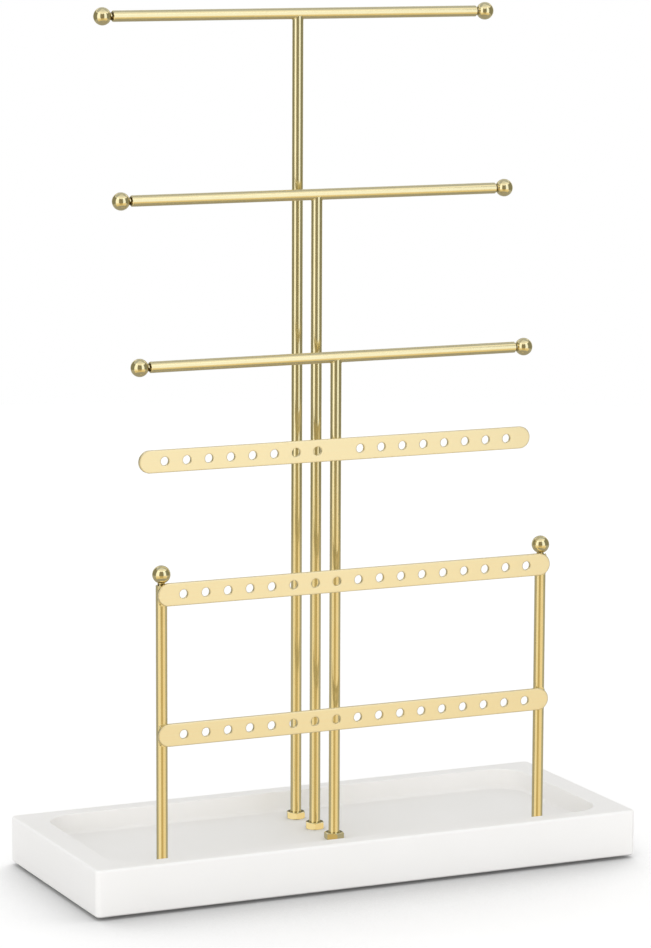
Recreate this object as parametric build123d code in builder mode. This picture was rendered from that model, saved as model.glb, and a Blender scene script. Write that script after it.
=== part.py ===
"""A jewelry stand: a lacquered tray that carries three T-shaped necklace rails and two earring strips.

Millimetres, +Z up. The origin is the middle of the footprint, on the surface that the stand rests on.
X runs along the tray, and the stand is used from the -Y side.
"""
import os
from math import radians, tan

from build123d import *

# tray: one block with a milled pocket
tray_length = 265.0
tray_depth = 107.0
tray_height = 21.0
tray_corner_radius = 2.5
tray_edge_round = 1.2
tray_base_chamfer = 0.6
rim_width = 8.5
end_rim_width = 12.0
pocket_depth = 9.6
pocket_corner_radius = 14.0
pocket_cove_radius = 1.6
pocket_edge_round = 0.5

# anti-slip pads under the tray's corners
pad_diameter = 12.0
pad_thickness = 1.5
pad_edge_chamfer = 0.3
pad_inset = 14.0

# rods: the posts and the crossbars are cut from one round stock
rod_diameter = 5.0
rod_end_chamfer = 0.4
row_spacing = 21.0
crossbar_length = 179.0

# distance from the tray's end to the axis of the frame's post
frame_inset = 39.5

# heights of the crossbars above the tray's underside
tall_height = 382.2
middle_height = 302.6
short_height = 231.8

# a post's top stops this far below the crossbar's axis, so that its coped lips stay thick
cope_lip = 1.0

# ball ends, tapped to take the stud that is turned on the rod's end
ball_diameter = 8.0
ball_flat_diameter = 4.0
ball_neck = 1.3
stud_diameter = 3.0
stud_grip = 3.6
stud_chamfer = 0.3
tap_depth = 4.4
thread_clearance = 0.02

# earring strips, pressed from flat bar with full-round ends
strip_width = 10.0
strip_thickness = 1.5
strip_edge_chamfer = 0.2
strip_overhang = 3.0
hole_diameter = 4.0
hole_pitch = 10.5
weld_seat_depth = 0.25

# least distance from a strip's end to the centre of its last hole
hole_end_margin = 10.0

# heights of the strips' middles above the tray's underside
high_strip_height = 190.6
upper_strip_height = 135.3
lower_strip_height = 72.9

# height of the frame's ball centres above the tray's underside
frame_ball_height = 143.9

# fasteners that clamp a post to the tray's floor
nut_across_flats = 8.0
nut_face_diameter = 7.6
nut_height = 3.2
nut_chamfer_angle = 30.0
nut_bore_clearance = 0.05
washer_diameter = 10.0
washer_bore_diameter = 5.3
washer_thickness = 1.0
post_hole_diameter = 5.4
counterbore_diameter = 15.0
counterbore_depth = 6.6
foot_end_allowance = 1.0

# how far each foot nut is turned about its post, back row first
back_nut_turn = 11.0
centre_nut_turn = 8.0
front_nut_turn = 25.0
frame_nut_turn = 0.0

# levels that follow from the sizes above
tray_bottom = pad_thickness
tray_top = tray_bottom + tray_height
pocket_floor = tray_top - pocket_depth
washer_top = tray_bottom + counterbore_depth
washer_bottom = washer_top - washer_thickness
base_nut_bottom = washer_bottom - nut_height
post_foot = base_nut_bottom - foot_end_allowance
rod_radius = rod_diameter / 2
ball_radius = ball_diameter / 2
stud_radius = stud_diameter / 2

# rows of posts, from the back to the front, evenly spaced about the middle of the tray
back_row = 1.5 * row_spacing
middle_row = 0.5 * row_spacing
front_row = -0.5 * row_spacing
frame_row = -1.5 * row_spacing
frame_x = tray_length / 2 - frame_inset
post_places = [(0, back_row), (0, middle_row), (0, front_row), (-frame_x, frame_row), (frame_x, frame_row)]
foot_nut_turns = [back_nut_turn, centre_nut_turn, front_nut_turn, frame_nut_turn, frame_nut_turn]

os.makedirs("parts", exist_ok=True)


def finish(piece, name):
    """Labels a piece and writes it as the node of that name."""
    piece.part.label = name
    export_step(piece.part, f"parts/{name}.step")
    solids = piece.part.solids()
    print(f"{name}: {len(solids)} solid(s), {sum(s.volume for s in solids):.1f} mm3")


# the tray, with its pocket, its coved floor and the five counterbored holes for the posts
pocket_length = tray_length - 2 * end_rim_width
pocket_width = tray_depth - 2 * rim_width
with BuildPart() as tray:
    with BuildSketch(Plane.XY.offset(tray_bottom)):
        RectangleRounded(tray_length, tray_depth, tray_corner_radius)
    extrude(amount=tray_height)
    fillet(tray.faces().sort_by(Axis.Z)[-1].edges(), tray_edge_round)
    chamfer(tray.faces().sort_by(Axis.Z)[0].edges(), tray_base_chamfer)
    with BuildSketch(Plane.XY.offset(tray_top)):
        RectangleRounded(pocket_length, pocket_width, pocket_corner_radius)
    extrude(amount=-pocket_depth, mode=Mode.SUBTRACT)
    floor_face = tray.faces().filter_by(Plane.XY).sort_by(Axis.Z)[-2]
    fillet(floor_face.outer_wire().edges(), pocket_cove_radius)
    rim_face = tray.faces().filter_by(Plane.XY).sort_by(Axis.Z)[-1]
    fillet(rim_face.inner_wires()[0].edges(), pocket_edge_round)
    with Locations(Plane.XY.offset(tray_bottom)):
        with Locations([Location((x, y, 0), (180, 0, 0)) for x, y in post_places]):
            CounterBoreHole(post_hole_diameter / 2, counterbore_diameter / 2, counterbore_depth)
finish(tray, "tray")

# the pads, one disc under each corner
pad_x = tray_length / 2 - pad_inset
pad_y = tray_depth / 2 - pad_inset
with BuildPart() as pads:
    with BuildSketch(Plane.XY):
        with GridLocations(2 * pad_x, 2 * pad_y, 2, 2):
            Circle(pad_diameter / 2)
    extrude(amount=pad_thickness)
    chamfer(pads.edges().group_by(Axis.Z)[0], pad_edge_chamfer)
finish(pads, "anti_slip_pads")


def seat_front(x, y, level):
    """Flattens the front of the post that is being made, where an earring strip is welded to it."""
    with Locations((x, y - rod_radius, level)):
        Box(rod_diameter, 2 * weld_seat_depth, strip_width, mode=Mode.SUBTRACT)


def necklace_post(name, y, height, strip_height=None):
    """Makes a T's post: threaded foot, straight rod, and a top coped round its crossbar."""
    bar_level = tray_bottom + height
    with BuildPart() as post:
        with BuildSketch(Plane((0, y, post_foot))):
            Circle(rod_radius)
        extrude(amount=bar_level - cope_lip - post_foot)
        chamfer(post.edges().group_by(Axis.Z)[0], rod_end_chamfer)
        with Locations(Plane((0, y, bar_level), z_dir=(1, 0, 0))):
            Cylinder(rod_radius, crossbar_length, mode=Mode.SUBTRACT)
        if strip_height is not None:
            seat_front(0, y, tray_bottom + strip_height)
    finish(post, name)


necklace_post("tall_post", back_row, tall_height)
necklace_post("middle_post", middle_row, middle_height)
necklace_post("short_post", front_row, short_height, high_strip_height)


def stud(at):
    """Turns the threaded stud on the end of a rod, from the rod's shoulder outwards along the plane."""
    with BuildSketch(at) as end:
        Circle(stud_radius)
    extrude(end.sketch, amount=ball_neck + stud_grip)


def crossbar(name, y, height):
    """Makes a crossbar: a straight rod with a stud turned on each end."""
    level = tray_bottom + height
    shoulder = crossbar_length / 2
    with BuildPart() as bar:
        with BuildSketch(Plane((0, y, level), z_dir=(1, 0, 0))):
            Circle(rod_radius)
        extrude(amount=shoulder, both=True)
        chamfer(bar.edges().filter_by(GeomType.CIRCLE), stud_chamfer)
        stud(Plane((shoulder, y, level), z_dir=(1, 0, 0)))
        stud(Plane((-shoulder, y, level), z_dir=(-1, 0, 0)))
        tips = bar.edges().filter_by(GeomType.CIRCLE).sort_by(Axis.X)
        chamfer([tips[0], tips[-1]], stud_chamfer)
    finish(bar, name)


crossbar("top_crossbar", back_row, tall_height)
crossbar("middle_crossbar", middle_row, middle_height)
crossbar("lower_crossbar", front_row, short_height)

# a ball's centre stands off the rod's shoulder by the neck and the distance to the ball's flat
ball_flat_offset = (ball_radius**2 - (ball_flat_diameter / 2) ** 2) ** 0.5
ball_stand_off = ball_neck + ball_flat_offset


def ball_end(name, centre, outward):
    """Makes a ball with a flat and a tapped blind hole on the side of its rod."""
    with BuildPart(Plane(centre, z_dir=outward)) as ball:
        Sphere(ball_radius)
        with Locations((0, 0, -ball_flat_offset)):
            Cylinder(ball_radius, ball_radius, align=(Align.CENTER, Align.CENTER, Align.MAX), mode=Mode.SUBTRACT)
            Cylinder(
                stud_radius + thread_clearance,
                tap_depth,
                align=(Align.CENTER, Align.CENTER, Align.MIN),
                mode=Mode.SUBTRACT,
            )
    finish(ball, name)


ball_x = crossbar_length / 2 + ball_stand_off
for level_name, y, height in (
    ("top", back_row, tall_height),
    ("middle", middle_row, middle_height),
    ("lower", front_row, short_height),
):
    ball_end(f"{level_name}_ball_left", (-ball_x, y, tray_bottom + height), (-1, 0, 0))
    ball_end(f"{level_name}_ball_right", (ball_x, y, tray_bottom + height), (1, 0, 0))

# the front frame's posts, with two weld seats each and a stud for the ball on top
frame_shoulder = tray_bottom + frame_ball_height - ball_stand_off
for side, x in (("left", -frame_x), ("right", frame_x)):
    with BuildPart() as frame_post:
        with BuildSketch(Plane((x, frame_row, post_foot))):
            Circle(rod_radius)
        extrude(amount=frame_shoulder - post_foot)
        chamfer(frame_post.edges().group_by(Axis.Z)[0], rod_end_chamfer)
        for strip_level in (upper_strip_height, lower_strip_height):
            seat_front(x, frame_row, tray_bottom + strip_level)
        stud(Plane((x, frame_row, frame_shoulder), z_dir=(0, 0, 1)))
        chamfer(frame_post.edges().group_by(Axis.Z)[-1], stud_chamfer)
    finish(frame_post, f"frame_post_{side}")
    ball_end(f"frame_ball_{side}", (x, frame_row, tray_bottom + frame_ball_height), (0, 0, 1))


# all three strips are alike: they reach a little past the frame's posts and take as many holes as fit
strip_half_length = frame_x + strip_overhang
holes_per_side = int((strip_half_length - hole_end_margin) / hole_pitch)


def earring_strip(name, row, height, has_middle_hole):
    """Makes a flat strip with full-round ends and an even row of holes, seated on the posts of its row."""
    back_face = row - rod_radius + weld_seat_depth
    hole_places = [i * hole_pitch for i in range(-holes_per_side, holes_per_side + 1)]
    if not has_middle_hole:
        hole_places.remove(0)
    with BuildPart() as strip:
        with BuildSketch(Plane((0, back_face, tray_bottom + height), x_dir=(1, 0, 0), z_dir=(0, -1, 0))):
            SlotOverall(2 * strip_half_length, strip_width)
            with Locations([(x, 0) for x in hole_places]):
                Circle(hole_diameter / 2, mode=Mode.SUBTRACT)
        extrude(amount=strip_thickness)
        front = strip.faces().sort_by(Axis.Y)[0]
        chamfer(front.outer_wire().edges(), strip_edge_chamfer)
    finish(strip, name)


earring_strip("high_earring_strip", front_row, high_strip_height, has_middle_hole=False)
earring_strip("upper_earring_strip", frame_row, upper_strip_height, has_middle_hole=True)
earring_strip("lower_earring_strip", frame_row, lower_strip_height, has_middle_hole=True)


# one hex nut, standing on its own face: the corners are turned off at both ends
corner_radius = nut_across_flats / 3**0.5
corner_drop = (corner_radius - nut_face_diameter / 2) * tan(radians(nut_chamfer_angle))
with BuildPart() as hex_nut:
    with BuildSketch(Plane.XY):
        RegularPolygon(corner_radius, 6)
    extrude(amount=nut_height)
    with BuildSketch(Plane.XZ):
        with BuildLine():
            Polyline(
                (0, 0),
                (nut_face_diameter / 2, 0),
                (corner_radius, corner_drop),
                (corner_radius, nut_height - corner_drop),
                (nut_face_diameter / 2, nut_height),
                (0, nut_height),
                close=True,
            )
        make_face()
    revolve(axis=Axis.Z, mode=Mode.INTERSECT)
    Cylinder(
        rod_radius + nut_bore_clearance,
        nut_height,
        align=(Align.CENTER, Align.CENTER, Align.MIN),
        mode=Mode.SUBTRACT,
    )


def nuts_round_posts(name, bottom, turns):
    """Sets one nut round each post, standing on the given level and turned by its own angle."""
    with BuildPart() as nuts:
        for (x, y), turn in zip(post_places, turns):
            add(hex_nut.part.moved(Location((x, y, bottom), (0, 0, turn))))
    finish(nuts, name)


nuts_round_posts("foot_nuts", pocket_floor, foot_nut_turns)
nuts_round_posts("base_nuts", base_nut_bottom, [0] * len(post_places))

# the washers that spread each base nut's load on the tray's floor
with BuildPart() as washers:
    with BuildSketch(Plane.XY.offset(washer_bottom)):
        with Locations(post_places):
            Circle(washer_diameter / 2)
            Circle(washer_bore_diameter / 2, mode=Mode.SUBTRACT)
    extrude(amount=washer_thickness)
finish(washers, "base_washers")
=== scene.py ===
# %% [markdown]
# # A jewelry stand in white lacquer and gold
#
# The stand is a lacquered tray with three T-shaped necklace rails and two earring strips on a low frame.
# The solid parts are already made, at their real size, and are loaded here as a fixed frame. This script
# gives them their finish, adds the small things that a solid model leaves out, such as the braze at the
# joints and the threads, and sets up a small photo studio round them.

# %% Load the solid parts
from math import atan2, cos, pi, radians, sin

import bmesh
import bpy
from mathutils import Matrix, Vector


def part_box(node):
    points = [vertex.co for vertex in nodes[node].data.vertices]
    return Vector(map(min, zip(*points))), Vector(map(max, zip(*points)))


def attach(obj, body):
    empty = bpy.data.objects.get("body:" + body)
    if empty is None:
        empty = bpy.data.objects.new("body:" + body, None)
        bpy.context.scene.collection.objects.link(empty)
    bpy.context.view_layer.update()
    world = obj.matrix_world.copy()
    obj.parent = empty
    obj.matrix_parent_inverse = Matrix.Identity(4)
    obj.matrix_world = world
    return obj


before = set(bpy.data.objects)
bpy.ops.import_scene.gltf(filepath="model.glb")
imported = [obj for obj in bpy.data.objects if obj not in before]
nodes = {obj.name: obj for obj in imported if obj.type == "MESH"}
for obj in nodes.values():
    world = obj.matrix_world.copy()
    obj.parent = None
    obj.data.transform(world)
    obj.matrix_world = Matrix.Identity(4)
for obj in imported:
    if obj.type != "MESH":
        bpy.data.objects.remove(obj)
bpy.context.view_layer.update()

# %% [markdown]
# ## The camera
#
# The photograph was taken from the left and a little above, from about 1.8 m away with a long lens, so
# upright posts stay almost parallel. The camera could be aimed with a constraint, but three plain angles say
# the same thing in a way that can be measured: how far it has walked round the stand, how far it looks
# down, and how much it leans.

# %% Place the camera
MM = 0.001

camera_place = Vector((-717.6, -1547.2, 452.2)) * MM
camera_round = radians(-24.88)
camera_down = radians(9.10)
camera_lean = radians(0.22)
lens_mm = 145.8
sensor_mm = 36.0
# nothing nearer or farther than this is drawn, in metres
nearest, farthest = 0.05, 20.0

lens = bpy.data.cameras.new("camera")
lens.lens = lens_mm
lens.sensor_fit = "VERTICAL"
lens.sensor_height = sensor_mm
lens.clip_start = nearest
lens.clip_end = farthest
camera = bpy.data.objects.new("camera", lens)
bpy.context.scene.collection.objects.link(camera)
camera.matrix_world = (
    Matrix.Translation(camera_place)
    @ Matrix.Rotation(camera_round, 4, "Z")
    @ Matrix.Rotation(pi / 2 - camera_down, 4, "X")
    @ Matrix.Rotation(camera_lean, 4, "Z")
)
bpy.context.scene.camera = camera
bpy.context.scene.view_settings.view_transform = "Standard"
print(f"camera {camera_place.length:.2f} m from the stand's foot, {lens_mm} mm lens")

# %% [markdown]
# ## Small tools
#
# Colours are written the way a colour picker shows them, as hex values, and Blender works in linear light, so
# one function turns the one into the other. Another adds a shader node with its settings and its inputs in
# one call, where an input is either a value or another node's output. A third turns a feature's real size
# into the scale that a noise texture wants.

# %% Colour, node and scale helpers
def from_hex(code):
    """Turns an sRGB hex colour into linear red, green, blue and alpha."""
    channels = [int(code[i : i + 2], 16) / 255 for i in (1, 3, 5)]
    linear = [c / 12.92 if c <= 0.04045 else ((c + 0.055) / 1.055) ** 2.4 for c in channels]
    return (*linear, 1.0)


def add_node(tree, kind, inputs=None, **settings):
    """Adds a node. The settings are its own, and each input is a value or another node's output."""
    node = tree.nodes.new(kind)
    for name, value in settings.items():
        setattr(node, name, value)
    for name, value in (inputs or {}).items():
        if isinstance(value, bpy.types.NodeSocket):
            tree.links.new(value, node.inputs[name])
        else:
            node.inputs[name].default_value = value
    return node


def new_material(name):
    """Starts a material with an empty node tree."""
    material = bpy.data.materials.new(name)
    material.use_nodes = True
    material.node_tree.nodes.clear()
    return material, material.node_tree


def per_mm(size):
    """The noise scale whose features are about this many millimetres wide, in metres of the object."""
    return 1 / (size * MM)


# the colour inputs and output of a Mix node set to colours
FIRST, SECOND, MIXED = 6, 7, 2
print("white", [round(c, 2) for c in from_hex("#FFFFFF")[:3]])

# %% [markdown]
# ## The floor
#
# The stand was photographed on white, with only a soft grey shadow round its foot. A studio uses a wide sheet
# of paper for that. A plane would do, but its corners could show in a view from above, so the floor is a
# round disc, far wider than the stand. It belongs to the studio and not to the stand.

# %% Make the floor
FLOOR_RADIUS = 1.5
FLOOR_SIDES = 96

floor_mesh = bmesh.new()
bmesh.ops.create_circle(floor_mesh, cap_ends=True, radius=FLOOR_RADIUS, segments=FLOOR_SIDES)
floor_data = bpy.data.meshes.new("floor")
floor_mesh.to_mesh(floor_data)
floor_mesh.free()
floor = bpy.data.objects.new("floor", floor_data)
bpy.context.scene.collection.objects.link(floor)
print(f"floor {2 * FLOOR_RADIUS:.0f} m across")

# %% [markdown]
# ## White paper that keeps the shadow
#
# Pouring in light until the paper turns white would also burn out the tray. Instead the paper is an ordinary
# pale matt surface that takes the stand's shadow, with a little glow of its own that is only seen and lights
# nothing. Close to the tray both get darker, by how much of the light from above and behind the tray hides
# there, which gives the narrow dark line that a real object has round its foot.

# %% A switch for what is only seen
def only_seen(tree):
    """Gives 1 where the camera looks, itself or by way of metal or glass, and 0 where light falls."""
    path = add_node(tree, "ShaderNodeLightPath")
    seen = add_node(
        tree,
        "ShaderNodeMath",
        {0: path.outputs["Is Camera Ray"], 1: path.outputs["Is Glossy Ray"]},
        operation="MAXIMUM",
    )
    seen = add_node(
        tree,
        "ShaderNodeMath",
        {0: seen.outputs[0], 1: path.outputs["Is Transmission Ray"]},
        operation="MAXIMUM",
    )
    return seen.outputs[0]


floor_paint, tree = new_material("matt_white_studio_floor")
floor_seen = only_seen(tree)
print(len(tree.nodes), "nodes tell seeing from lighting")

# %% Lay the paper
FLOOR_GLOW = 0.11
# how far away the tray still darkens the paper, in metres, the share of open sky that counts as all of it,
# and the share of the paper's tone that is left where there is none
SHADOW_REACH = 0.15
OPEN_SKY = 0.90
DARKEST_TONE = 0.30
# towards the light that the tray hides, above it and behind
LIGHT_SIDE = (0.34, 0.62, 0.71)

# an unlinked normal would be the floor's own, so the direction comes from a node
from_behind = add_node(tree, "ShaderNodeCombineXYZ", dict(zip("XYZ", LIGHT_SIDE)))
contact = add_node(
    tree,
    "ShaderNodeAmbientOcclusion",
    {"Distance": SHADOW_REACH, "Normal": from_behind.outputs[0]},
    samples=12,
)
contact_tone = add_node(
    tree,
    "ShaderNodeMapRange",
    {"Value": contact.outputs["AO"], "From Max": OPEN_SKY, "To Min": DARKEST_TONE, "To Max": 1.0},
)
glow = add_node(
    tree,
    "ShaderNodeMath",
    {0: floor_seen, 1: contact_tone.outputs[0]},
    operation="MULTIPLY",
)
glow_strength = add_node(tree, "ShaderNodeMath", {0: glow.outputs[0], 1: FLOOR_GLOW}, operation="MULTIPLY")
emission = add_node(tree, "ShaderNodeEmission", {"Color": (1, 1, 1, 1), "Strength": glow_strength.outputs[0]})
paper_tone = add_node(
    tree,
    "ShaderNodeMix",
    {0: contact_tone.outputs[0], FIRST: from_hex("#000000"), SECOND: from_hex("#FAFAFA")},
    data_type="RGBA",
)
paper = add_node(tree, "ShaderNodeBsdfDiffuse", {"Color": paper_tone.outputs[MIXED]})
both = add_node(tree, "ShaderNodeAddShader", {0: paper.outputs[0], 1: emission.outputs[0]})
add_node(tree, "ShaderNodeOutputMaterial", {"Surface": both.outputs[0]})
floor.data.materials.append(floor_paint)
print(floor_paint.name)

# %% [markdown]
# ## The white room
#
# Behind the paper the world is plain white to the camera and to mirror-like surfaces, so metal reflects the
# same white room that the camera sees. To everything else that world is the light itself. It could be made of
# many lamps, but one world with a soft pattern is smoother: even all round, with one broad window in front,
# to the left and low, which is why the tray's front is the brightest of its sides in the photograph.

# %% Light the room
ROOM_LEVEL = 0.93
# how much brighter the middle of the window is, and how fast that falls off away from it
WINDOW_LEVEL = 1.84
WINDOW_FOCUS = 4
window_side = Vector((-0.62, -1.0, -0.3)).normalized()

world = bpy.data.worlds.new("white_room")
world.use_nodes = True
bpy.context.scene.world = world
tree = world.node_tree
tree.nodes.clear()
direction = add_node(tree, "ShaderNodeTexCoord")
towards = add_node(
    tree,
    "ShaderNodeVectorMath",
    {0: direction.outputs["Generated"], 1: window_side},
    operation="DOT_PRODUCT",
)
front_half = add_node(tree, "ShaderNodeMath", {0: towards.outputs["Value"], 1: 0.0}, operation="MAXIMUM")
window = add_node(tree, "ShaderNodeMath", {0: front_half.outputs[0], 1: WINDOW_FOCUS}, operation="POWER")
level = add_node(
    tree,
    "ShaderNodeMath",
    {0: window.outputs[0], 1: WINDOW_LEVEL, 2: ROOM_LEVEL},
    operation="MULTIPLY_ADD",
)
room = add_node(tree, "ShaderNodeBackground", {"Color": (1, 1, 1, 1), "Strength": level.outputs[0]})
white = add_node(tree, "ShaderNodeBackground", {"Color": (1, 1, 1, 1), "Strength": 1.0})
choice = add_node(tree, "ShaderNodeMixShader", {0: only_seen(tree), 1: room.outputs[0], 2: white.outputs[0]})
add_node(tree, "ShaderNodeOutputWorld", {"Surface": choice.outputs[0]})
print("room level", ROOM_LEVEL, "and in the window", round(ROOM_LEVEL + WINDOW_LEVEL, 2))

# %% [markdown]
# ## Softboxes
#
# Polished metal has hardly a colour of its own: what the eye reads as metal is the room in it. In a room
# that is white all over, a gold rod looks like pale plastic. Product photographers put large softboxes beside
# the camera, and each draws a bright line down every rod. They could be glowing cards, but an area lamp gives
# less grain in a blurred reflection. Only mirror-like rays can see these two, so they don't light the tray.

# %% Set the softboxes
def around(distance, turn, height):
    """A place that far from the stand's axis, turned about it from the front towards the right."""
    return Vector((distance * sin(radians(turn)), -distance * cos(radians(turn)), height))


SOFTBOX_AWAY = 1.10
SOFTBOX_MIDDLE = 0.65
SOFTBOX_HEIGHT = 1.3


def softbox(name, turn, width, brightness, colour):
    """An upright area lamp that faces the stand's axis, as bright to look at as its brightness says. Only
    mirror-like rays see it, because as a light it would draw a hard white line along the tray's edges."""
    place = around(SOFTBOX_AWAY, turn, SOFTBOX_MIDDLE)
    data = bpy.data.lights.new(name, "AREA")
    data.shape = "RECTANGLE"
    data.size = width
    data.size_y = SOFTBOX_HEIGHT
    data.energy = brightness * pi * width * SOFTBOX_HEIGHT
    data.color = from_hex(colour)[:3]
    lamp = bpy.data.objects.new(name, data)
    bpy.context.scene.collection.objects.link(lamp)
    lamp.location = place
    lamp.rotation_euler = Vector((-place.x, -place.y, 0)).to_track_quat("-Z", "Y").to_euler()
    lamp.visible_diffuse = False
    return lamp


lamps = [
    softbox("softbox_right", 20, 0.70, 1.02, "#EEF5FF"),
    softbox("softbox_left", -70.5, 0.75, 0.92, "#F2F6FF"),
]
print(", ".join(lamp.name for lamp in lamps))

# %% [markdown]
# ## Cards, table and ceiling
#
# Dark cards between and beside the softboxes draw the dark lines that make a rod look round, and the slanted
# faces of nuts and balls see the studio's table and ceiling. A picture of a studio wrapped round the world
# would hold all this too, but plain cards can each be moved and toned by themselves. Each is one edge spun
# part of the way round the stand, or all of it. Only mirror-like rays can see them, so they neither light nor
# shade the tray, and hide the stand from no side.

# %% Card maker
CARD_STEPS = 24


def bent_card(name, first_turn, last_turn, start, end, colour):
    """A card bent round the stand, from turn to turn in degrees. Its section runs from start to end, each a
    distance and a height, and only mirror-like rays see it, as bright as its colour."""
    card = bmesh.new()
    corners = [card.verts.new(around(distance, first_turn, height)) for distance, height in (start, end)]
    edge = card.edges.new(corners)
    angle = radians(last_turn - first_turn)
    bmesh.ops.spin(card, geom=[edge], cent=(0, 0, 0), axis=(0, 0, 1), angle=angle, steps=CARD_STEPS)
    data = bpy.data.meshes.new(name)
    card.to_mesh(data)
    card.free()
    paint, tree = new_material(name + "_paper")
    glow = add_node(tree, "ShaderNodeEmission", {"Color": from_hex(colour), "Strength": 1.0})
    add_node(tree, "ShaderNodeOutputMaterial", {"Surface": glow.outputs[0]})
    paint.cycles.emission_sampling = "NONE"
    data.materials.append(paint)
    piece = bpy.data.objects.new(name, data)
    bpy.context.scene.collection.objects.link(piece)
    piece.visible_camera = False
    piece.visible_diffuse = False
    piece.visible_transmission = False
    piece.visible_shadow = False


print(f"each card is bent in {CARD_STEPS} steps")

# %% Set the cards and walls
CARD_AWAY = 0.85
FOOT, SILL, HEAD = (CARD_AWAY, 0.0), (CARD_AWAY, 0.05), (CARD_AWAY, 0.9)
LOW_FOOT, LOW_HEAD = (0.8, 0.08), (0.8, 0.24)

# standing round the stand, between and beside the softboxes
bent_card("card_front", -46, -2, SILL, HEAD, "#8B8673")
bent_card("card_right", 42, 118, FOOT, HEAD, "#8A8A7C")
bent_card("card_left", -168, -95, FOOT, HEAD, "#8A8A7C")
bent_card("card_back", 130, 180, FOOT, HEAD, "#B9B9B1")
bent_card("card_low_back", 144, 166, LOW_FOOT, LOW_HEAD, "#6A6A5E")
bent_card("light_card_back_right", 118, 130, FOOT, HEAD, "#FFFFFF")
bent_card("light_card_back_left", 180, 192, FOOT, HEAD, "#FFFFFF")

# the walls behind the softboxes, which they partly light
WALL_FOOT, WALL_HEAD = (1.3, -0.06), (1.3, 1.35)
bent_card("wall_right", -8, 50, WALL_FOOT, WALL_HEAD, "#7A7F88")
bent_card("wall_left", -101, -40, WALL_FOOT, WALL_HEAD, "#A3A3A0")
print(f"cards {CARD_AWAY} m and walls {WALL_FOOT[0]} m away")

# %% Set the table and the ceiling
BOTTOM = -0.35
CARD_BOTTOM, EDGE = (CARD_AWAY, BOTTOM), (CARD_AWAY, -0.02)
SIDE_BOTTOM, SIDE_TOP = (1.1, BOTTOM), (1.1, 0.0)
CENTRE, RING_INNER, RING_OUTER = (0.0, BOTTOM), (0.6, BOTTOM), (1.15, BOTTOM)

# below the cards, the table of the studio, warmer and in half light. It hangs lower than the floor, so that
# every rod sees it at the same slant, wherever the rod stands
bent_card("table_front", -46, -2, CARD_BOTTOM, EDGE, "#CBB789")
bent_card("table_front_edge", -46, -2, EDGE, SILL, "#AEA27C")
bent_card("table_right", -8, 56, SIDE_BOTTOM, SIDE_TOP, "#F8E9CB")
bent_card("table_left", -101, -40, SIDE_BOTTOM, SIDE_TOP, "#FDF3DC")
bent_card("table_far_right", 55, 118, CARD_BOTTOM, FOOT, "#AFAFAA")
bent_card("table_back", 118, 192, CARD_BOTTOM, FOOT, "#B5B5AF")
bent_card("table_far_left", -168, -95, CARD_BOTTOM, FOOT, "#AFAFAA")
bent_card("table_ring", -101, 56, RING_INNER, RING_OUTER, "#E3D3A8")
bent_card("table_ring_back", 56, 259, RING_INNER, RING_OUTER, "#A5A4A1")
bent_card("table_middle", 0, 360, CENTRE, RING_INNER, "#A5A4A1")

# the studio's ceiling, brightest over the softboxes
CEILING = 1.3
OVERHEAD, NEAR, MID, FAR = [(distance, CEILING) for distance in (0.0, 0.3, 0.65, 1.2)]
bent_card("ceiling_middle", 0, 360, OVERHEAD, NEAR, "#DADEE3")
bent_card("ceiling_front_near", -95, 75, NEAR, MID, "#EEF1F4")
bent_card("ceiling_front_far", -95, 75, MID, FAR, "#FFFFFF")
bent_card("ceiling_back", 75, 265, NEAR, FAR, "#B8BEC8")
print(f"table {-BOTTOM} m below the floor, ceiling {CEILING} m above it")

# %% [markdown]
# ## White satin lacquer
#
# The tray is a block with a milled pocket, sprayed with white lacquer and left satin. Sprayed lacquer levels
# out almost flat, but keeps a faint orange peel, dimples a millimetre or two across and about a hundredth
# deep. It gives the long soft edges of the highlights on the rim. A plain white shader would look like paper.

# %% White lacquer
# the width of the dimples and of the faint clouds in the white, in millimetres
PEEL_WIDTH = 1.6
PEEL_DEPTH = 0.012 * MM
LACQUER_CLOUD = 40


def sprayed_white_lacquer():
    """Pigmented lacquer, sprayed and left satin: the eye gets a soft sheen on a warm white body."""
    material, tree = new_material("sprayed_white_satin_lacquer")
    place = add_node(tree, "ShaderNodeTexCoord")
    cloud = add_node(
        tree,
        "ShaderNodeTexNoise",
        {"Vector": place.outputs["Object"], "Scale": per_mm(LACQUER_CLOUD), "Detail": 3.0},
    )
    body = add_node(
        tree,
        "ShaderNodeMix",
        {0: cloud.outputs["Fac"], FIRST: from_hex("#F1F0EE"), SECOND: from_hex("#F5F4F3")},
        data_type="RGBA",
    )
    peel = add_node(
        tree,
        "ShaderNodeTexNoise",
        {"Vector": place.outputs["Object"], "Scale": per_mm(PEEL_WIDTH), "Detail": 2.0},
    )
    bump = add_node(
        tree,
        "ShaderNodeBump",
        {"Height": peel.outputs["Fac"], "Strength": 1.0, "Distance": PEEL_DEPTH},
    )
    sheen = add_node(
        tree,
        "ShaderNodeMapRange",
        {"Value": cloud.outputs["Fac"], "To Min": 0.52, "To Max": 0.62},
    )
    surface = add_node(
        tree,
        "ShaderNodeBsdfPrincipled",
        {
            "Base Color": body.outputs[MIXED],
            "Roughness": sheen.outputs[0],
            "IOR": 1.5,
            "Normal": bump.outputs[0],
        },
    )
    add_node(tree, "ShaderNodeOutputMaterial", {"Surface": surface.outputs[0]})
    return material


lacquer = sprayed_white_lacquer()
print(lacquer.name)

# %% [markdown]
# ## Gold plating
#
# The rods are drawn steel wire, polished and plated with a pale brass-toned gold. Drawing pulls the metal
# through a die, so what is left of the marks runs along the rod, and so does the polish. On the turned balls
# and the nuts the marks have no one direction. The three finishes are one material with its noise stretched
# along a different axis, and a smooth metal whose roughness wanders a little, as plating does.

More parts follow.
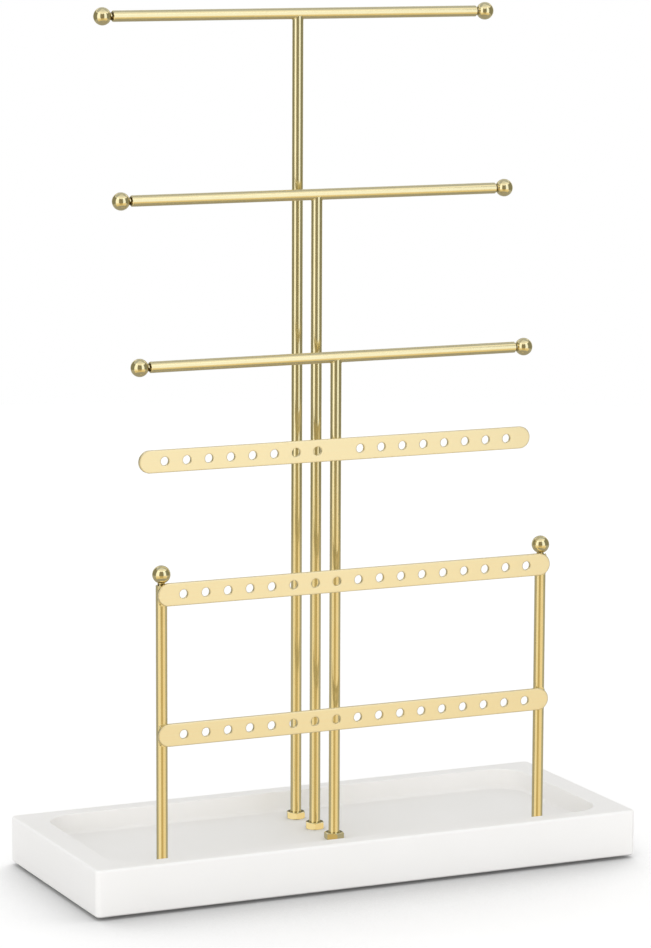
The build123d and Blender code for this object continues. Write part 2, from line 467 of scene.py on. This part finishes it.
# %% Gold plating
# the drawn marks and the faint clouds in the plating, in millimetres
MARK_WIDTH = 0.35
MARK_LENGTH = 40.0
PLATING_CLOUD = 9
MARK_DEPTH = 0.0008 * MM
# how far the roughness wanders
POLISH_DRIFT = 0.03


def plated_gold(name, along, light, deep, polish):
    """Gold-tone plating on polished steel: tinted mirror lines, broken up a little by the drawn marks."""
    material, tree = new_material(name)
    place = add_node(tree, "ShaderNodeTexCoord")
    stretch = Vector((1, 1, 1))
    for axis in along:
        stretch["XYZ".index(axis)] = MARK_WIDTH / MARK_LENGTH
    lines = add_node(tree, "ShaderNodeMapping", {"Vector": place.outputs["Object"], "Scale": stretch})
    marks = add_node(
        tree,
        "ShaderNodeTexNoise",
        {"Vector": lines.outputs[0], "Scale": per_mm(MARK_WIDTH), "Detail": 2.0},
    )
    cloud = add_node(
        tree,
        "ShaderNodeTexNoise",
        {"Vector": place.outputs["Object"], "Scale": per_mm(PLATING_CLOUD), "Detail": 3.0},
    )
    tint = add_node(
        tree,
        "ShaderNodeMix",
        {0: cloud.outputs["Fac"], FIRST: from_hex(deep), SECOND: from_hex(light)},
        data_type="RGBA",
    )
    roughness = add_node(
        tree,
        "ShaderNodeMapRange",
        {"Value": cloud.outputs["Fac"], "To Min": polish, "To Max": polish + POLISH_DRIFT},
    )
    bump = add_node(
        tree,
        "ShaderNodeBump",
        {"Height": marks.outputs["Fac"], "Strength": 1.0, "Distance": MARK_DEPTH},
    )
    surface = add_node(
        tree,
        "ShaderNodeBsdfPrincipled",
        {
            "Base Color": tint.outputs[MIXED],
            "Metallic": 1.0,
            "Roughness": roughness.outputs[0],
            "Normal": bump.outputs[0],
        },
    )
    add_node(tree, "ShaderNodeOutputMaterial", {"Surface": surface.outputs[0]})
    return material


print("marks", MARK_WIDTH, "mm wide and", MARK_LENGTH, "mm long")

# %% Plate the rods, the turned parts and the threads
GOLD_LIGHT = "#F4E6B6"
GOLD_DEEP = "#F0DFAA"
ROD_POLISH = 0.13
TURNED_POLISH = 0.06
THREAD_POLISH = 0.30

upright_gold = plated_gold("gold_plated_upright_rod", "Z", GOLD_LIGHT, GOLD_DEEP, ROD_POLISH)
level_gold = plated_gold("gold_plated_level_rod", "X", GOLD_LIGHT, GOLD_DEEP, ROD_POLISH)
turned_gold = plated_gold("gold_plated_turned_parts", "", GOLD_LIGHT, GOLD_DEEP, TURNED_POLISH)
# the polishing wheel never reaches the bottom of a thread, so the plating stays dull and rough there. Its
# dark brown colour is painted shade, for the shadow deep in the narrow necks where the threads show
thread_gold_painted_shade = plated_gold("gold_plated_unpolished_threads_painted_shade", "", "#6B5526", "#4A3A18", THREAD_POLISH)
print(", ".join(gold.name for gold in (upright_gold, level_gold, turned_gold, thread_gold_painted_shade)))

# %% [markdown]
# ## Satin gold strips
#
# The earring strips are flat bar, brushed lengthwise before plating. Brushing leaves fine grooves all one
# way, which spread a reflection across them, so the strip looks evenly bright and pale from the front,
# where a polished rod beside it shows lines. Real grooves are a few hundredths of a millimetre wide. They
# are drawn about ten times as coarse here, because finer ones vanish in a picture of this size. The brush
# also wears the corners of the bar and of its holes round. Cutting that into the mesh would take thousands
# of faces, so a Bevel node rounds them for the light alone.

# %% Satin gold
# the brushed grooves as they are drawn, in millimetres
BRUSH_WIDTH = 0.3
BRUSH_LENGTH = 25.0
BRUSH_DEPTH = 0.010 * MM
EDGE_ROUND = 0.6 * MM


def brushed_gold():
    """Brushed flat bar with pale gold plating: an even satin face with faint lengthwise lines."""
    material, tree = new_material("brushed_satin_gold_plating")
    place = add_node(tree, "ShaderNodeTexCoord")
    stretch = Vector((BRUSH_WIDTH / BRUSH_LENGTH, 1, 1))
    lines = add_node(tree, "ShaderNodeMapping", {"Vector": place.outputs["Object"], "Scale": stretch})
    grooves = add_node(
        tree,
        "ShaderNodeTexNoise",
        {"Vector": lines.outputs[0], "Scale": per_mm(BRUSH_WIDTH), "Detail": 3.0},
    )
    tint = add_node(
        tree,
        "ShaderNodeMix",
        {0: grooves.outputs["Fac"], FIRST: from_hex("#FFEBBA"), SECOND: from_hex("#FFF2C6")},
        data_type="RGBA",
    )
    roughness = add_node(
        tree,
        "ShaderNodeMapRange",
        {"Value": grooves.outputs["Fac"], "To Min": 0.30, "To Max": 0.40},
    )
    edges = add_node(tree, "ShaderNodeBevel", {"Radius": EDGE_ROUND}, samples=6)
    bump = add_node(
        tree,
        "ShaderNodeBump",
        {
            "Height": grooves.outputs["Fac"],
            "Strength": 1.0,
            "Distance": BRUSH_DEPTH,
            "Normal": edges.outputs[0],
        },
    )
    across = add_node(tree, "ShaderNodeCombineXYZ", {"X": 0.0, "Y": 0.0, "Z": 1.0})
    surface = add_node(
        tree,
        "ShaderNodeBsdfPrincipled",
        {
            "Base Color": tint.outputs[MIXED],
            "Metallic": 1.0,
            "Roughness": roughness.outputs[0],
            "Anisotropic": 0.7,
            "Tangent": across.outputs[0],
            "Normal": bump.outputs[0],
        },
    )
    add_node(tree, "ShaderNodeOutputMaterial", {"Surface": surface.outputs[0]})
    return material


satin_gold = brushed_gold()
print(satin_gold.name)

# %% [markdown]
# ## Zinc underneath
#
# Nobody sees the washers and nuts under the tray, so they are the cheap sort, bright zinc with its faint
# cloudy grain. A plain grey metal would look like polished steel, so one fine noise clouds the colour, the
# roughness and the surface together.

# %% Zinc plating
ZINC_CLOUD = 1.2
ZINC_DEPTH = 0.004 * MM


def zinc_plating():
    """Bright zinc plate: a cool grey metal, slightly cloudy, that never looks polished."""
    material, tree = new_material("bright_zinc_plating")
    place = add_node(tree, "ShaderNodeTexCoord")
    cloud = add_node(
        tree,
        "ShaderNodeTexNoise",
        {"Vector": place.outputs["Object"], "Scale": per_mm(ZINC_CLOUD), "Detail": 4.0},
    )
    tint = add_node(
        tree,
        "ShaderNodeMix",
        {0: cloud.outputs["Fac"], FIRST: from_hex("#B4B8BD"), SECOND: from_hex("#D3D5D6")},
        data_type="RGBA",
    )
    roughness = add_node(
        tree,
        "ShaderNodeMapRange",
        {"Value": cloud.outputs["Fac"], "To Min": 0.22, "To Max": 0.42},
    )
    bump = add_node(
        tree,
        "ShaderNodeBump",
        {"Height": cloud.outputs["Fac"], "Strength": 1.0, "Distance": ZINC_DEPTH},
    )
    surface = add_node(
        tree,
        "ShaderNodeBsdfPrincipled",
        {
            "Base Color": tint.outputs[MIXED],
            "Metallic": 1.0,
            "Roughness": roughness.outputs[0],
            "Normal": bump.outputs[0],
        },
    )
    add_node(tree, "ShaderNodeOutputMaterial", {"Surface": surface.outputs[0]})
    return material


zinc = zinc_plating()
print(zinc.name)

# %% [markdown]
# ## Rubber pads
#
# The four thin pads under the tray are black rubber from a mould, whose fine grain keeps them matt. The grain
# could be displaced geometry, but the pads only show as a dark line, so a bump is enough.

# %% Moulded rubber
GRAIN_WIDTH = 0.4
GRAIN_DEPTH = 0.03 * MM


def moulded_rubber():
    """Moulded black rubber with a fine grain: dark, dry and matt."""
    material, tree = new_material("moulded_black_rubber")
    place = add_node(tree, "ShaderNodeTexCoord")
    grain = add_node(
        tree,
        "ShaderNodeTexNoise",
        {"Vector": place.outputs["Object"], "Scale": per_mm(GRAIN_WIDTH), "Detail": 3.0},
    )
    tint = add_node(
        tree,
        "ShaderNodeMix",
        {0: grain.outputs["Fac"], FIRST: from_hex("#1B1B1C"), SECOND: from_hex("#2B2B2B")},
        data_type="RGBA",
    )
    roughness = add_node(
        tree,
        "ShaderNodeMapRange",
        {"Value": grain.outputs["Fac"], "To Min": 0.72, "To Max": 0.9},
    )
    bump = add_node(
        tree,
        "ShaderNodeBump",
        {"Height": grain.outputs["Fac"], "Strength": 1.0, "Distance": GRAIN_DEPTH},
    )
    surface = add_node(
        tree,
        "ShaderNodeBsdfPrincipled",
        {
            "Base Color": tint.outputs[MIXED],
            "Roughness": roughness.outputs[0],
            "IOR": 1.52,
            "Normal": bump.outputs[0],
        },
    )
    add_node(tree, "ShaderNodeOutputMaterial", {"Surface": surface.outputs[0]})
    return material


rubber = moulded_rubber()
print(rubber.name)

# %% [markdown]
# ## A finish for each solid part
#
# The shapes of the solid parts are right as they are, so they only change their material. A table with every
# part in it would be long. The parts' names say what they are, so most finishes are found by the name.

# %% Give each solid part its finish
finishes = {
    "tray": lacquer,
    "anti_slip_pads": rubber,
    "base_nuts": zinc,
    "base_washers": zinc,
    "foot_nuts": turned_gold,
}
for name, part in nodes.items():
    if name.endswith("_post") or name.startswith("frame_post"):
        finishes[name] = upright_gold
    elif name.endswith("_crossbar"):
        finishes[name] = level_gold
    elif "_ball_" in name:
        finishes[name] = turned_gold
    elif name.endswith("_strip"):
        finishes[name] = satin_gold
    for slot in part.material_slots:
        slot.material = finishes[name]

# in the photograph the rods show the studio's light and dark down to their nuts, and no white tray or
# floor, so mirror-like rays pass these two by
nodes["tray"].visible_glossy = False
floor.visible_glossy = False
print(f"{len(finishes)} parts finished")

# %% [markdown]
# ## From a mesh to a piece
#
# The small pieces that follow are all made the same way: a bmesh is shaped, closed and smoothed, gets one
# finish, and rides with the stand. Parenting each to its rod would do too, but the stand is one rigid body,
# so they all ride on that.

# %% Piece maker
def finish_piece(mesh, name, material):
    """Closes a bmesh, and makes it a smooth piece of the stand with one finish."""
    bmesh.ops.recalc_face_normals(mesh, faces=mesh.faces)
    for face in mesh.faces:
        face.smooth = True
    data = bpy.data.meshes.new(name)
    mesh.to_mesh(data)
    mesh.free()
    data.materials.append(material)
    piece = bpy.data.objects.new(name, data)
    bpy.context.scene.collection.objects.link(piece)
    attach(piece, "root")
    return piece


def middle_of(node):
    """The middle of a solid part's box."""
    low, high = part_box(node)
    return (Vector(low) + Vector(high)) / 2


print("the tray's middle is", [round(c, 4) for c in middle_of("tray")])

# %% [markdown]
# ## Braze at the rails
#
# The top of each tall rod is coped, cut to the roundness of the rail that it carries, and brazed to it.
# Before plating, a thin collar of filler is left in the corner all round the seam. It could be sculpted, but
# the seam of two equal rods has a simple shape: round the upright it rises and falls as the rail's own
# underside does. So a small circle is spun round the upright into a ring, and each point of the ring is
# dropped as far as the rail lies below its axis there.

# %% Braze collars
ROD_RADIUS = 2.5 * MM
SEAM_RADIUS = 0.34 * MM
LIP_DROP = 1.0 * MM
SECTION_SIDES = 12
RING_STEPS = 96
# the share of filler where the ring is thinnest, and how deep and how many its uneven waves and ripples are
THINNEST = 0.4
WAVE_DEPTH, WAVES = 0.10, 5
RIPPLE_DEPTH, RIPPLES = 0.06, 13
RAILS = ("top", "middle", "lower")


def braze_collar(name, rail):
    """A thin ring of filler in the corner between an upright rod and the rail on top of it."""
    collar = bmesh.new()
    stand_up = Matrix.Translation((ROD_RADIUS, 0, 0)) @ Matrix.Rotation(pi / 2, 4, "X")
    bmesh.ops.create_circle(collar, segments=SECTION_SIDES, radius=SEAM_RADIUS, matrix=stand_up)
    bmesh.ops.spin(
        collar,
        geom=collar.edges[:],
        cent=(0, 0, 0),
        axis=(0, 0, 1),
        angle=2 * pi,
        steps=RING_STEPS,
        use_merge=True,
    )
    for point in collar.verts:
        turn = atan2(point.co.y, point.co.x)
        side = abs(cos(turn))
        seam = Vector((cos(turn), sin(turn), 0)) * ROD_RADIUS
        # filler gathers in the open corners at the sides, and hand work is never quite even
        uneven = 1 + WAVE_DEPTH * sin(WAVES * turn + 1) + RIPPLE_DEPTH * sin(RIPPLES * turn)
        amount = (THINNEST + (1 - THINNEST) * side) * uneven
        point.co = seam + (point.co - seam) * amount
        point.co.z -= max(ROD_RADIUS * side, LIP_DROP)
    bmesh.ops.translate(collar, verts=collar.verts, vec=middle_of(rail))
    return finish_piece(collar, name, turned_gold)


for rail in RAILS:
    collar = braze_collar(f"braze_{rail}", f"{rail}_crossbar")
    print(collar.name, len(collar.data.polygons), "faces")

# %% [markdown]
# ## Weld beads behind the strips
#
# Each earring strip sits in a flat filed on its rods, and is held from behind by two short welds, one on each
# side of the rod, where nobody looks from the front. A weld bead is a row of small frozen puddles. A cylinder
# has the size of it, so one is cut into short steps along its length, and its radius swells and shrinks from
# puddle to puddle and closes at the ends.

# %% Weld beads
WELD_RADIUS = 0.55 * MM
WELD_SIDES = 12
WELD_STEPS = 44
# the length of a puddle, how much it swells, and how small and how suddenly the bead closes at its ends
WELD_PUDDLE = 0.9 * MM
WELD_SWELL = 0.14
WELD_TIP = 0.25
WELD_CLOSING = 6
# the bead's middle lies this far beside the rod's and behind the strip's back, and this much of the strip's
# height is left free
WELD_ASIDE = 1.55 * MM
WELD_BEHIND = 0.25 * MM
WELD_FREE = 0.8 * MM


def pour(part, mesh):
    """Adds one bmesh to another, and frees it."""
    data = bpy.data.meshes.new("part")
    part.to_mesh(data)
    part.free()
    mesh.from_mesh(data)
    bpy.data.meshes.remove(data)


def add_weld(mesh, place, length):
    """Adds one upright weld bead to a mesh, its middle at the place."""
    bead = bmesh.new()
    bmesh.ops.create_cone(
        bead, cap_ends=True, segments=WELD_SIDES, radius1=WELD_RADIUS, radius2=WELD_RADIUS, depth=length
    )
    upright = [edge for edge in bead.edges if abs(edge.verts[0].co.z - edge.verts[1].co.z) > length / 2]
    bmesh.ops.subdivide_edges(bead, edges=upright, cuts=WELD_STEPS, use_grid_fill=True)
    for point in bead.verts:
        along = min(abs(2 * point.co.z / length), 1)
        puddle = 1 + WELD_SWELL * abs(sin(pi * (point.co.z + place.x) / WELD_PUDDLE))
        closing = max(WELD_TIP, (1 - along**WELD_CLOSING) ** 0.5)
        point.co.x *= puddle * closing
        point.co.y *= puddle * closing
    bmesh.ops.translate(bead, verts=bead.verts, vec=place)
    pour(bead, mesh)


strip_rods = {
    "high_earring_strip": ("short_post",),
    "upper_earring_strip": ("frame_post_left", "frame_post_right"),
    "lower_earring_strip": ("frame_post_left", "frame_post_right"),
}
welds = bmesh.new()
for strip, rods in strip_rods.items():
    low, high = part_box(strip)
    for rod in rods:
        for side in (-WELD_ASIDE, WELD_ASIDE):
            place = Vector((middle_of(rod).x + side, high[1] + WELD_BEHIND, (low[2] + high[2]) / 2))
            add_weld(welds, place, high[2] - low[2] - WELD_FREE)
welds = finish_piece(welds, "weld_beads", turned_gold)
print(welds.name, len(welds.data.polygons), "faces")

# %% [markdown]
# ## Threads
#
# The balls screw onto studs turned on the rails, and the nuts run on threads at the rods' feet. Only short
# ends of these threads show, between rail and ball and under the tray. A thread is a helix, and a spin that
# also steps along its axis makes one: a small triangle is carried round and along, one pitch a turn.

# %% Thread ridges
THREAD_STEPS = 24
# in pitches: the reach of the ridge's triangle from its middle, and the bare stretch at either end
RIDGE_REACH = 0.54
BARE_END = 0.3


def add_thread(mesh, start, axis, radius, pitch, length):
    """Adds a helical ridge that starts at a place and runs along an axis, on a stud of that radius."""
    ridge = bmesh.new()
    aim = Vector(axis).to_track_quat("Z", "Y").to_matrix().to_4x4()
    lay = Matrix.Translation((radius, 0, 0)) @ Matrix.Rotation(pi / 2, 4, "X")
    bmesh.ops.create_circle(ridge, segments=3, radius=RIDGE_REACH * pitch, matrix=lay)
    steps = round((length / pitch - 2 * BARE_END) * THREAD_STEPS)
    bmesh.ops.spin(
        ridge,
        geom=ridge.edges[:],
        cent=(0, 0, 0),
        axis=(0, 0, 1),
        dvec=(0, 0, pitch / THREAD_STEPS),
        angle=2 * pi * steps / THREAD_STEPS,
        steps=steps,
    )
    bmesh.ops.holes_fill(ridge, edges=[edge for edge in ridge.edges if edge.is_boundary])
    bmesh.ops.translate(ridge, verts=ridge.verts, vec=(0, 0, BARE_END * pitch))
    bmesh.ops.transform(ridge, matrix=Matrix.Translation(start) @ aim, verts=ridge.verts)
    pour(ridge, mesh)


STUD_RADIUS, STUD_PITCH, STUD_NECK = 1.5 * MM, 0.5 * MM, 1.3 * MM
FOOT_RADIUS, FOOT_PITCH, FOOT_END = 2.35 * MM, 0.8 * MM, 1.0 * MM
BALL_RADIUS = 4 * MM

threads = bmesh.new()
for rail in RAILS:
    for side, sign in (("left", -1), ("right", 1)):
        ball = middle_of(f"{rail}_ball_{side}")
        neck = ball - Vector((sign * (BALL_RADIUS + STUD_NECK), 0, 0))
        add_thread(threads, neck, (sign, 0, 0), STUD_RADIUS, STUD_PITCH, STUD_NECK)
for side in ("left", "right"):
    ball = middle_of(f"frame_ball_{side}")
    neck = ball - Vector((0, 0, BALL_RADIUS + STUD_NECK))
    add_thread(threads, neck, (0, 0, 1), STUD_RADIUS, STUD_PITCH, STUD_NECK)
for rod in ("tall_post", "middle_post", "short_post", "frame_post_left", "frame_post_right"):
    foot = Vector((middle_of(rod).x, middle_of(rod).y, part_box(rod)[0][2]))
    add_thread(threads, foot, (0, 0, 1), FOOT_RADIUS, FOOT_PITCH, FOOT_END)
# the threads' dark colour is painted shade
threads = finish_piece(threads, "threads", thread_gold_painted_shade)
print(threads.name, len(threads.data.polygons), "faces")
